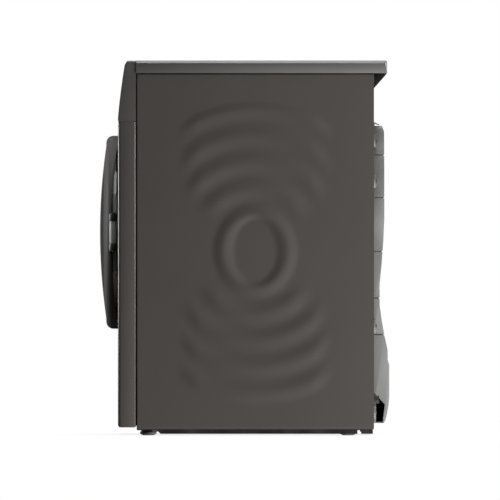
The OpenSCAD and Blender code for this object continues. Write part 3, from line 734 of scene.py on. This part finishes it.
class DRYER_OT_side_panels(bpy.types.Operator):
    """Model the two side panels with their folded edges and pressed ripples."""

    bl_idname = "dryer.side_panels"
    bl_label = "Side Panels"

    PLANE = CABINET_X - 1.4
    FLANGE = 16
    HEM, HEM_SLOPE = 4.5, 0.12

    def execute(self, context):
        self.panel("right", 1)
        self.panel("left", -1)
        return {"FINISHED"}

    def panel(self, hand, side):
        columns = settings().panel_columns
        depth, tall = SIDE_HIGH.y - SIDE_LOW.y, SIDE_HIGH.z - SIDE_LOW.z
        rows = int(columns * tall / depth)
        clear_selection()
        bpy.ops.mesh.primitive_grid_add(x_subdivisions=columns, y_subdivisions=rows, size=1)
        obj = named("embossed_side_panel_" + hand)
        flat = np.empty(len(obj.data.vertices) * 3)
        obj.data.vertices.foreach_get("co", flat)
        flat = flat.reshape(-1, 3)
        y = SIDE_LOW.y + (flat[:, 0] + 0.5) * depth
        z = SIDE_LOW.z + (flat[:, 1] + 0.5) * tall
        hem = np.clip(SIDE_LOW.z + self.HEM - z, 0, self.HEM) * self.HEM_SLOPE
        x = self.PLANE + emboss(y, z) - hem
        points = np.stack([side * x, y, z], axis=1) * MM
        obj.data.vertices.foreach_set("co", points.ravel())
        obj.data.update()
        edit(obj)
        pick(obj, lambda middle, edge: edge.is_boundary and middle.z > SIDE_LOW.z + 0.5, "edges")
        bpy.ops.mesh.extrude_edges_move(TRANSFORM_OT_translate={"value": (-side * self.FLANGE * MM, 0, 0)})
        object_mode()
        edit(obj)
        pick(obj, lambda middle, edge: self.is_fold(middle, edge, side), "edges")
        round_picked(1.6, 3)
        bpy.ops.mesh.select_all(action="SELECT")
        bpy.ops.mesh.normals_make_consistent(inside=False)
        object_mode()
        middle = obj.data.polygons[len(obj.data.polygons) // 2]
        if middle.normal.x * side < 0:
            edit(obj)
            bpy.ops.mesh.flip_normals()
            object_mode()
        modify(obj, "SOLIDIFY", thickness=settings().sheet, offset=-1)
        finished(obj, "cabinet", "side_steel", body_enamel(), "side_panel_" + hand, angle=40)

    def is_fold(self, middle, edge, side):
        """True for the folds at the front and the top. The rear edge stays sharp."""
        if len(edge.link_faces) != 2 or edge.calc_face_angle() < 0.9:
            return False
        return side * middle.x > self.PLANE - 6 and middle.y < SIDE_HIGH.y - 1


class DRYER_OT_front_panel(bpy.types.Operator):
    """Model the steel front with its rounded corners, door opening, latch slot and flap opening."""

    bl_idname = "dryer.front_panel"
    bl_label = "Front Panel"

    def execute(self, context):
        low, high = FRONT_LOW, FRONT_HIGH
        obj = block("steel_front", low, high)
        edit(obj)
        pick(obj, lambda middle, normal: normal.y > 0.9)
        bpy.ops.mesh.inset(thickness=8 * MM)
        bpy.ops.mesh.delete(type="FACE")
        pick(obj, lambda middle, edge: abs(middle.x) > high.x - 1 and middle.y > high.y - 1, "edges")
        round_picked(2, 3)
        pick(obj, lambda middle, edge: middle.y < low.y + 1 and middle.z < high.z - 1, "edges")
        round_picked(6.5, 6)
        object_mode()
        rounded(obj, 2.0, 3, 50)
        modify(obj, "SOLIDIFY", thickness=settings().sheet, offset=-1)
        flap_top = box_mm("service_flap")[1].z
        mouth = rod("mouth", (0, low.y - 5, DOOR_Z), (0, low.y + 5, DOOR_Z), 172.0, settings().turn_steps)
        slot = block("slot", (-208, low.y - 5, DOOR_Z - 13), (-184, low.y + 5, DOOR_Z + 13))
        hatch = block("hatch", (-269, low.y - 5, 34), (-41, low.y + 1, flap_top + 1))
        cut(obj, mouth, slot, hatch)
        finished(obj, "cabinet", "front_steel", body_enamel(), "front_panel")
        return {"FINISHED"}


class DRYER_OT_service_flap(bpy.types.Operator):
    """Model the hinged flap in front of the heat exchanger, with a finger notch."""

    bl_idname = "dryer.service_flap"
    bl_label = "Service Flap"

    def execute(self, context):
        softened("service_flap", "hinged_service_flap", "flap", "front_steel", body_enamel(), 0.5)
        return {"FINISHED"}


class DRYER_OT_control_panel(bpy.types.Operator):
    """Model the leaning control panel with its openings for the tank, display, dial and buttons."""

    bl_idname = "dryer.control_panel"
    bl_label = "Control Panel"

    def execute(self, context):
        low, high = FASCIA_LOW, FASCIA_HIGH
        crown = [(high.y, high.z), (low.y + 23, high.z), (low.y + 20.5, high.z - 1),
                 (low.y + 18.5, high.z - 3.5)]
        face = [(fascia_y(z), z) for z in np.linspace(high.z - 10, FASCIA_KNEE, 14)]
        foot = [(low.y, low.z + 2.5), (low.y + 0.8, low.z + 0.8), (low.y + 2.5, low.z), (high.y, low.z)]
        obj = across("fascia", crown + face + foot, low.x, high.x)
        edit(obj)
        pick(obj, lambda middle, normal: normal.y > 0.9)
        bpy.ops.mesh.delete(type="FACE")
        pick(obj, lambda middle, edge: abs(middle.x) > high.x - 1 and middle.z > high.z - 5, "edges")
        round_picked(5, 6)
        object_mode()
        rounded(obj, 1.6, 3, 60)
        modify(obj, "SOLIDIFY", thickness=0.0028, offset=-1)
        tank_low, tank_high = box_mm("tank_front")
        cut(
            obj,
            block("tank_hole", (tank_low.x - 1, low.y - 5, tank_low.z - 1),
                  (tank_high.x + 1, low.y + 30, tank_high.z + 1)),
            on_fascia(rod("dial_hole", (0, 0, -20), (0, 0, 20), DIAL_HOLE_R, 96), DIAL_X),
            on_fascia(rod("start_hole", (0, 0, -20), (0, 0, 20), 9.5, 48), START_X),
            on_fascia(rod("power_hole", (0, 0, -20), (0, 0, 20), 9.5, 48), POWER_X),
            on_fascia(block("display_hole", (-60, -20, -20), (60, 20, 20)), DISPLAY_X),
        )
        section = [(0, -14), (DIAL_HOLE_R, -14), (DIAL_HOLE_R, -1.2), (28, -1.2), (28, -15.5), (0, -15.5)]
        well = on_fascia(turned("dial_well", section, steps=96, upright=True), DIAL_X)
        finished(obj, "cabinet", "fascia_plastic", fascia_plastic(), "control_panel")
        finished(well, "cabinet", "fascia_plastic", black_plastic())
        self.marks()
        return {"FINISHED"}

    def marks(self):
        """Raised lines round the dial and a small bar over each button."""
        pale = paint("pale_marks", moulded_plastic, (0.55, 0.55, 0.54), 0.5, 0.01)
        marks = []
        for number in range(DIAL_MARKS):
            mark = block("mark" if number else "dial_marks", (-0.5, 31, 0.02), (0.5, 35, 0.3))
            mark.data.transform(Matrix.Rotation(math.radians(25.7 * number), 4, "Z"))
            marks.append(on_fascia(mark, DIAL_X))
        for x in (START_X, POWER_X):
            marks.append(on_fascia(block("mark", (-4, 13, 0.02), (4, 14, 0.3)), x))
        finished(joined(marks), "cabinet", "fascia_plastic", pale)


class DRYER_OT_controls(bpy.types.Operator):
    """Model the programme dial, the two buttons and the display window."""

    bl_idname = "dryer.controls"
    bl_label = "Dial, Buttons and Display"

    def execute(self, context):
        silver = paint("satin_silver", moulded_plastic, (0.33, 0.33, 0.33), 0.3, 0.008, 2200)
        self.dial(silver)
        self.button("round_start_button", START_X, "start_key", "start_button", silver)
        self.button("round_power_button", POWER_X, "power_key", "power_button", silver)
        window = on_fascia(block("display_glass", (-59.7, -19.7, -1.6), (59.7, 19.7, -0.2)), DISPLAY_X)
        rounded(window, 0.5, 2)
        finished(window, "cabinet", "black_gloss", paint("black_gloss", gloss_black), "display_window")
        self.digits()
        return {"FINISHED"}

    def dial(self, silver):
        """A dial with a finely ribbed rim and a raised pointer."""
        obj = rod("ribbed_dial", (0, 0, -11), (0, 0, -0.5), 23.4, 144)
        edit(obj)
        pick(obj, lambda middle, normal: abs(normal.z) < 0.1 and self.rib(middle) % 2)
        bpy.ops.mesh.extrude_faces_move(TRANSFORM_OT_shrink_fatten={"value": 0.5 * MM})
        pick(obj, lambda middle, normal: normal.z > 0.9 and middle.xy.length < 5)
        bpy.ops.mesh.inset(thickness=3.6 * MM)
        bpy.ops.mesh.inset(thickness=1.2 * MM, depth=-0.9 * MM)
        bpy.ops.mesh.inset(thickness=14 * MM, depth=0.2 * MM)
        object_mode()
        obj = combine(obj, block("pointer", (-1.1, 13.0, -2.5), (1.1, 19.6, -0.3)), "UNION")
        obj = combine(obj, rod("stem", (0, 0, -22), (0, 0, -10.5), 4, 32), "UNION")
        finished(on_fascia(obj, DIAL_X), "dial", "silver_plastic", silver, "program_dial")

    def rib(self, middle):
        """Number of the face round the rim."""
        return round(math.degrees(math.atan2(middle.y, middle.x)) / 2.5 - 0.5)

    def button(self, name, x, body, node, silver):
        """A round key with a soft edge and a dished top."""
        top = [(0, -1.1), (4, -0.95), (7, -0.55), (8.3, -0.6), (8.9, -1.2)]
        stem = [(9, -2), (9, -8), (3, -8), (3, -10), (0, -10)]
        obj = turned(name, top + stem, steps=64, upright=True)
        finished(on_fascia(obj, x), body, "silver_plastic", silver, node)

    def digits(self):
        """Three lit seven-bar digits and a colon behind the display window."""
        flat, tall, dot = (2.7, 0.55), (0.55, 2.7), (0.6, 0.6)
        spots = {"a": (0, 7, flat), "b": (3.6, 3.5, tall), "c": (3.6, -3.5, tall), "d": (0, -7, flat),
                 "e": (-3.6, -3.5, tall), "f": (-3.6, 3.5, tall), "g": (0, 0, flat)}
        places = []
        for start, bars in ((-16, "bc"), (0, "abcdg"), (13, "abcdef")):
            for bar in bars:
                x, y, half = spots[bar]
                places.append((start + x, y, half))
        places += [(-8, -2.6, dot), (-8, 2.6, dot)]
        pieces = []
        for x, y, (wide, high) in places:
            bar = block("bar", (x - wide, y - high, -0.35), (x + wide, y + high, -0.12))
            pieces.append(on_fascia(bar, DISPLAY_X))
        digits = joined(pieces)
        digits.name = digits.data.name = "display_digits"
        finished(digits, "cabinet", "silver_plastic", paint("lit_marks", glowing, (0.9, 0.95, 1.0), 1.2))


class DRYER_OT_tank_front(bpy.types.Operator):
    """Model the front of the tank drawer with its finger pocket."""

    bl_idname = "dryer.tank_front"
    bl_label = "Tank Drawer Front"

    def execute(self, context):
        softened("tank_front", "tank_drawer_front", "tank_drawer", "fascia_plastic", fascia_plastic(), 0.6)
        return {"FINISHED"}


class DRYER_OT_worktop(bpy.types.Operator):
    """Model the worktop: a laminated board in a moulded edge, with a softened rear corner."""

    bl_idname = "dryer.worktop"
    bl_label = "Worktop"

    def execute(self, context):
        low, high = TOP_LOW, TOP_HIGH
        under, soft, reach, wall = 813.5, 0.6, 4.5, 18
        rear = [(high.y - reach + reach * math.sin(a), high.z - reach + reach * math.cos(a))
                for a in map(math.radians, (0, 22, 45, 68, 90))]
        foot = [(high.y, under + soft), (high.y - soft, under), (low.y + soft, under)]
        section = [(low.y, under + soft), (low.y, high.z)] + rear + foot
        obj = across("worktop_edge", section, low.x, high.x)
        edit(obj)
        pick(obj, lambda middle, edge: abs(middle.x) > high.x - 1 and middle.z > high.z - 5, "edges")
        round_picked(6, 1)
        object_mode()
        rounded(obj, 0.9, 3, 40)
        hollow_low = (low.x + wall, low.y + wall, under - 1)
        hollow_high = (high.x - wall, high.y - wall, high.z - wall)
        cut(obj, block("hollow", hollow_low, hollow_high))
        laminate = paint("worktop_laminate", moulded_plastic, tuple(settings().top_colour), 0.42, 0.03, 700)
        finished(obj, "cabinet", "worktop_laminate", laminate, "worktop")
        return {"FINISHED"}


class DRYER_OT_worktop_brackets(bpy.types.Operator):
    """Model the two gussets that carry the worktop's rear overhang."""

    bl_idname = "dryer.worktop_brackets"
    bl_label = "Worktop Brackets"

    def execute(self, context):
        soot = paint("sooty_black", sooty_black)
        softened("worktop_brackets", "rear_gussets", "cabinet", "black_plastic", soot, 0.8)
        return {"FINISHED"}


class DRYER_OT_door_frame(bpy.types.Operator):
    """Model the door's moulded outer frame, cut back behind the hinge side."""

    bl_idname = "dryer.door_frame"
    bl_label = "Door Frame"

    def execute(self, context):
        wall, rim = 3.0, 16.0
        edge_r = DOOR_R - rim
        edge_y = door_y(edge_r) + rim - 1
        outer = [(r, door_y(r)) for r in range(152, int(edge_r), 6)]
        outer += [(edge_r + rim * math.sin(a), edge_y - rim * math.cos(a))
                  for a in np.linspace(0.15, math.pi / 2, 9)]
        bore = rim - wall
        inner = [(edge_r + bore * math.sin(a), edge_y - bore * math.cos(a))
                 for a in np.linspace(math.pi / 2, 0.15, 7)]
        inner += [(r, door_y(r) + wall) for r in (190, 170, 155)]
        section = [(150, door_y(150) + 1.2), (150.6, door_y(150) + 0.2)] + outer
        section += [(DOOR_R, -285.2), (DOOR_R - 0.9, -284.35), (DOOR_R - wall, -284.35)]
        section += inner + [(153, -291), (150, -291)]
        obj = turned("moulded_door_frame", section, (0, 0, DOOR_Z), settings().turn_steps)
        edit(obj)
        normal = Vector((0.12, 1, 0)).normalized()
        middle = Vector((87, FRONT_Y - 0.3, DOOR_Z)) * MM
        bpy.ops.mesh.bisect(plane_co=middle, plane_no=normal, use_fill=True, clear_outer=True)
        object_mode()
        tidy_mesh(obj)
        notch = rod("notch", (221, -294.7, DOOR_Z - 47), (221, -294.7, DOOR_Z + 45), 11.6, 64)
        cut(obj, notch)
        colour = tuple(settings().fascia_colour)
        plastic = paint("door_plastic", moulded_plastic, colour, 0.62, 0.02, 1800, sheen=0.2)
        finished(obj, "door", "fascia_plastic", plastic, "door_outer_frame", angle=35)
        return {"FINISHED"}


class DRYER_OT_door_cover(bpy.types.Operator):
    """Model the domed dark cover in the middle of the door."""

    bl_idname = "dryer.door_cover"
    bl_label = "Door Cover"

    def execute(self, context):
        front = [(r, door_y(r)) for r in range(0, 148, 7)]
        edge = [(148.6, door_y(148.6) + 0.15), (149.6, door_y(149.6) + 1.2), (149.6, door_y(149.6) + 4)]
        rear = [(r, door_y(r) + 4) for r in (140, 110, 80, 50, 20, 0)]
        obj = turned("domed_door_cover", front + edge + rear, (0, 0, DOOR_Z), settings().turn_steps)
        finished(obj, "door", "black_gloss", paint("black_gloss", gloss_black), "door_cover")
        return {"FINISHED"}


class DRYER_OT_door_back(bpy.types.Operator):
    """Round the edges of the pieces behind the door: inner ring, hinge leaf, hook and hinge bracket."""

    bl_idname = "dryer.door_back"
    bl_label = "Door Back and Hinge"

    def execute(self, context):
        leaf_plastic = paint("leaf_plastic", moulded_plastic, (0.34, 0.34, 0.335), 0.5, 0.02)
        plans = (
            ("door_inner_frame", "inner_ring", "door", "grey_plastic", door_ring_plastic(), 1.6),
            ("door_hinge_leaf", "hinge_leaf", "door", "grey_plastic", leaf_plastic, 1.4),
            ("door_latch_hook", "latch_hook", "door", "black_plastic", black_plastic(), 0.6),
            ("door_hinge_bracket", "hinge_knuckles", "cabinet", "black_plastic", black_plastic(), 0.7),
        )
        for plan in plans:
            softened(*plan, segments=3)
        return {"FINISHED"}


class DRYER_OT_rear_duct(bpy.types.Operator):
    """Model the moulded air duct on the back with its waist, fan bulge, grooves and side grille opening."""

    bl_idname = "dryer.rear_duct"
    bl_label = "Rear Air Duct"

    RADIUS, FOOT = 197, 27
    TOP = DRUM_Z + RADIUS
    SEAMS = (630, 534, 413, 308, 226)

    def execute(self, context):
        obj = self.shape("air_duct", 0)
        rounded(obj, 2.4, 3, 50)
        cut(obj, self.shape("inner", 2.5))
        opening = [(REAR_Y + 5, 26), (REAR_Y + 5, 91), (316, 69), (311, 26)]
        cut(obj, across("side_opening", opening, 180, 200))
        for seam in self.SEAMS:
            self.groove(obj, seam - 1.3, seam + 1.3, 2.2)
        for x, z in self.lugs():
            combine(obj, rod("lug", (x, REAR_Y, z), (x, REAR_Y + 4, z), 16, 48), "UNION")
        tab = [(0, -2), (3, -2), (3, 4.5), (13, 1), (13, 3.5), (3, 7.5), (0, 7.5)]
        combine(obj, across("tab", [(REAR_Y + y, self.TOP + z) for y, z in tab], -14, 14), "UNION")
        finished(obj, "cabinet", "grey_plastic", duct_plastic(), "rear_air_duct")
        return {"FINISHED"}

    def lugs(self):
        """Places of the screw lugs along the width and the height."""
        reach = self.RADIUS + 12
        round_top = [(reach * math.cos(math.radians(a)), DRUM_Z + reach * math.sin(math.radians(a)))
                     for a in (20, 50, 130, 160)]
        return round_top + [(x, z) for x in (-108, 198) for z in (52, 245)]

    def groove(self, obj, z0, z1, depth):
        """Cuts a groove round the duct between two heights."""
        band = block("groove", (-250, 280, z0), (250, 340, z1))
        cut(obj, combine(band, self.shape("core", depth), "DIFFERENCE"))

    def shape(self, name, inset):
        """The duct's solid, drawn in by an inset on every outer face."""
        w = inset
        r, foot_z, top = self.RADIUS - w, self.FOOT + w, self.TOP - w
        arc = [(r * math.cos(a), DRUM_Z + r * math.sin(a))
               for a in np.linspace(math.radians(-12), math.radians(212), 64)]
        foot = [(-100 + w, 250), (-100 + w, foot_z), (190 - w, foot_z), (190 - w, 230)]
        solid = along(name, arc + foot, REAR_Y - (1 if w else 0), REAR_Y + 36)
        back = [(314, foot_z), (317.7, 34), (320.8, 47), (324.6, 68), (326, 88), (326, 158), (322.5, 170),
                (322.5, 192), (315, 225), (309, 259), (304.5, 293), (304.5, 338), (309, 385), (313, 440),
                (315, 488), (315, top - 14), (311, top)]
        side = [(REAR_Y - 3, foot_z)] + [(y - w, z) for y, z in back] + [(REAR_Y - 3, top)]
        return combine(solid, across("side", side, -260, 260), "INTERSECT")


class DRYER_OT_feet(bpy.types.Operator):
    """Model the four levelling feet with their pads and ridged stems."""

    bl_idname = "dryer.feet"
    bl_label = "Levelling Feet"

    def execute(self, context):
        names = ("foot_front_right", "foot_front_left", "foot_rear_right", "foot_rear_left")
        for number, node in enumerate(names, 1):
            low, high = box_mm(node)
            centre = ((low.x + high.x) / 2, (low.y + high.y) / 2, 0)
            pad = [(0, 0), (11.9, 0), (12.5, 0.5), (17.6, 3.0), (18.4, 4.0), (18.5, 8.2), (17.8, 9), (9, 9),
                   (8.6, 11), (4.95, 11)]
            thread = [(4.95 - 0.5 * (n % 2), 11.5 + 0.75 * n) for n in range(35)] + [(4.4, 38), (0, 38)]
            obj = turned("levelling_" + node, pad + thread, centre, 48, upright=True)
            finished(obj, f"foot_{number}", "rubber", paint("rubber", rubber), node, angle=50)
        return {"FINISHED"}


class DRYER_OT_finishes(bpy.types.Operator):
    """Give every frame node that stays visible its own finish."""

    bl_idname = "dryer.finishes"
    bl_label = "Frame Finishes"

    def execute(self, context):
        plan = (
            (pale_grey_plastic(), "front_bulkhead tank_housing heat_exchanger_cover drain_spigot"),
            (paint("galvanised", galvanised), "rear_panel idler_arm"),
            (paint("turned_steel", bright_metal, (0.50, 0.50, 0.51), 0.3),
             "roller_axles motor_shaft drum_shaft"),
            (paint("drum_steel", drum_steel), "drum_shell drum_back"),
            (paint("cast_aluminium", cast_metal, (0.50, 0.51, 0.53)), "rear_bearing motor_housing"),
            (paint("fin_stack", fin_stack, (0.62, 0.63, 0.64)), "evaporator condenser_coil"),
            (paint("rubber", rubber),
             "door_seal drive_belt compressor_mounts support_roller_right support_roller_left"),
            (paint("white_plastic", moulded_plastic, (0.70, 0.70, 0.68), 0.4, 0.02),
             "condensate_pump drum_lifters"),
            (paint("clear_plastic", clear_plastic), "drum_lamp door_window"),
            (paint("base_plastic", sooty_black, (0.008, 0.008, 0.008)), "base_tray"),
            (paint("dark_steel", bright_metal, (0.09, 0.09, 0.095), 0.5), "screws"),
            (black_plastic(), "hinge_pin door_strike mains_gland fan_wheel idler_pulley"),
            (paint("circuit_board", circuit_board), "control_board"),
            (paint("pressed_felt", pressed_felt), "drum_felt_seal"),
            (paint("black_enamel", black_enamel), "compressor"),
            (paint("bare_copper", bare_copper), "refrigerant_pipes"),
            (paint("filter_plastic", moulded_plastic, (0.10, 0.18, 0.26), 0.45, 0.03), "lint_filter"),
            (paint("tank_plastic", moulded_plastic, (0.55, 0.57, 0.58), 0.35, 0.02), "condensate_tank"),
        )
        for material, nodes in plan:
            for node in nodes.split():
                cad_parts[node].material_slots[0].material = material
        return {"FINISHED"}


class DRYER_OT_stage(bpy.types.Operator):
    """Set the floor, the white backdrop, the soft lights and the camera square to the right side."""

    bl_idname = "dryer.stage"
    bl_label = "Floor, Lights and Camera"

    def execute(self, context):
        clear_selection()
        bpy.ops.mesh.primitive_plane_add(size=44, location=(0, 0, 0))
        floor = named("studio_floor")
        floor.data.materials.append(paint("studio_floor", studio_floor, (0.92, 0.92, 0.92)))
        floor.visible_diffuse = floor.visible_glossy = floor.visible_shadow = False
        context.scene.world = studio_sky("studio_sky", 0.07)
        context.scene.view_settings.view_transform = "Standard"
        target = Vector((0.2, 0.0, 0.42))
        self.lamp("key_softbox", (1.05, 2.1, -1.7), target, 0.8, 265)
        self.lamp("rear_softbox", (0.85, 1.85, 0.9), target, 0.8, 60)
        self.lamp("top_softbox", (0.1, -0.2, 3.3), target, 2.4, 110)
        self.lamp("front_softbox", (-0.7, -3.0, 0.9), target, 1.2, 80)
        self.lamp("right_softbox", (2.6, -1.1, 2.2), target, 1.0, 6)
        self.lamp("left_softbox", (-3.0, 1.0, 1.6), target, 1.5, 30)
        self.camera(context)
        return {"FINISHED"}

    def lamp(self, name, place, target, size, power):
        """A square soft light aimed at the dryer."""
        light = bpy.data.lights.new(name, "AREA")
        light.size = size
        light.energy = power
        obj = bpy.data.objects.new(name, light)
        obj.location = place
        obj.rotation_euler = (target - Vector(place)).to_track_quat("-Z", "Y").to_euler()
        obj.visible_camera = False
        bpy.context.scene.collection.objects.link(obj)

    def camera(self, context):
        """A long lens level with the middle of the machine. It spans view_width at the side panel."""
        distance, view_width, sensor = 50.0, 1.1225, 36.0
        data = bpy.data.cameras.new("camera")
        data.sensor_width = sensor
        data.lens = sensor * distance / view_width
        data.clip_end = 100
        obj = bpy.data.objects.new("camera", data)
        obj.location = (CABINET_X * MM + distance, 0.0126, 0.4164)
        obj.rotation_euler = (math.pi / 2, 0, math.pi / 2)
        context.scene.collection.objects.link(obj)
        context.scene.camera = obj


class DRYER_PT_panel(bpy.types.Panel):
    """Lists the dryer's settings and its operators."""

    bl_idname = "DRYER_PT_panel"
    bl_label = "Clothes Dryer"
    bl_space_type = "VIEW_3D"
    bl_region_type = "UI"
    bl_category = "Dryer"

    def draw(self, context):
        for name in DryerSettings.__annotations__:
            self.layout.prop(context.scene.dryer, name)
        for step in STEPS:
            self.layout.operator(step.bl_idname)


STEPS = (
    DRYER_OT_side_panels,
    DRYER_OT_front_panel,
    DRYER_OT_service_flap,
    DRYER_OT_control_panel,
    DRYER_OT_controls,
    DRYER_OT_tank_front,
    DRYER_OT_worktop,
    DRYER_OT_worktop_brackets,
    DRYER_OT_door_frame,
    DRYER_OT_door_cover,
    DRYER_OT_door_back,
    DRYER_OT_rear_duct,
    DRYER_OT_feet,
    DRYER_OT_finishes,
    DRYER_OT_stage,
)


def register():
    for item in (DryerSettings, *STEPS, DRYER_PT_panel):
        bpy.utils.register_class(item)
    bpy.types.Scene.dryer = PointerProperty(type=DryerSettings)


def unregister():
    del bpy.types.Scene.dryer
    for item in reversed((DryerSettings, *STEPS, DRYER_PT_panel)):
        bpy.utils.unregister_class(item)


def main():
    register()
    for step in STEPS:
        group, name = step.bl_idname.split(".")
        getattr(getattr(bpy.ops, group), name)()
    clear_selection()


if __name__ == "__main__":
    main()
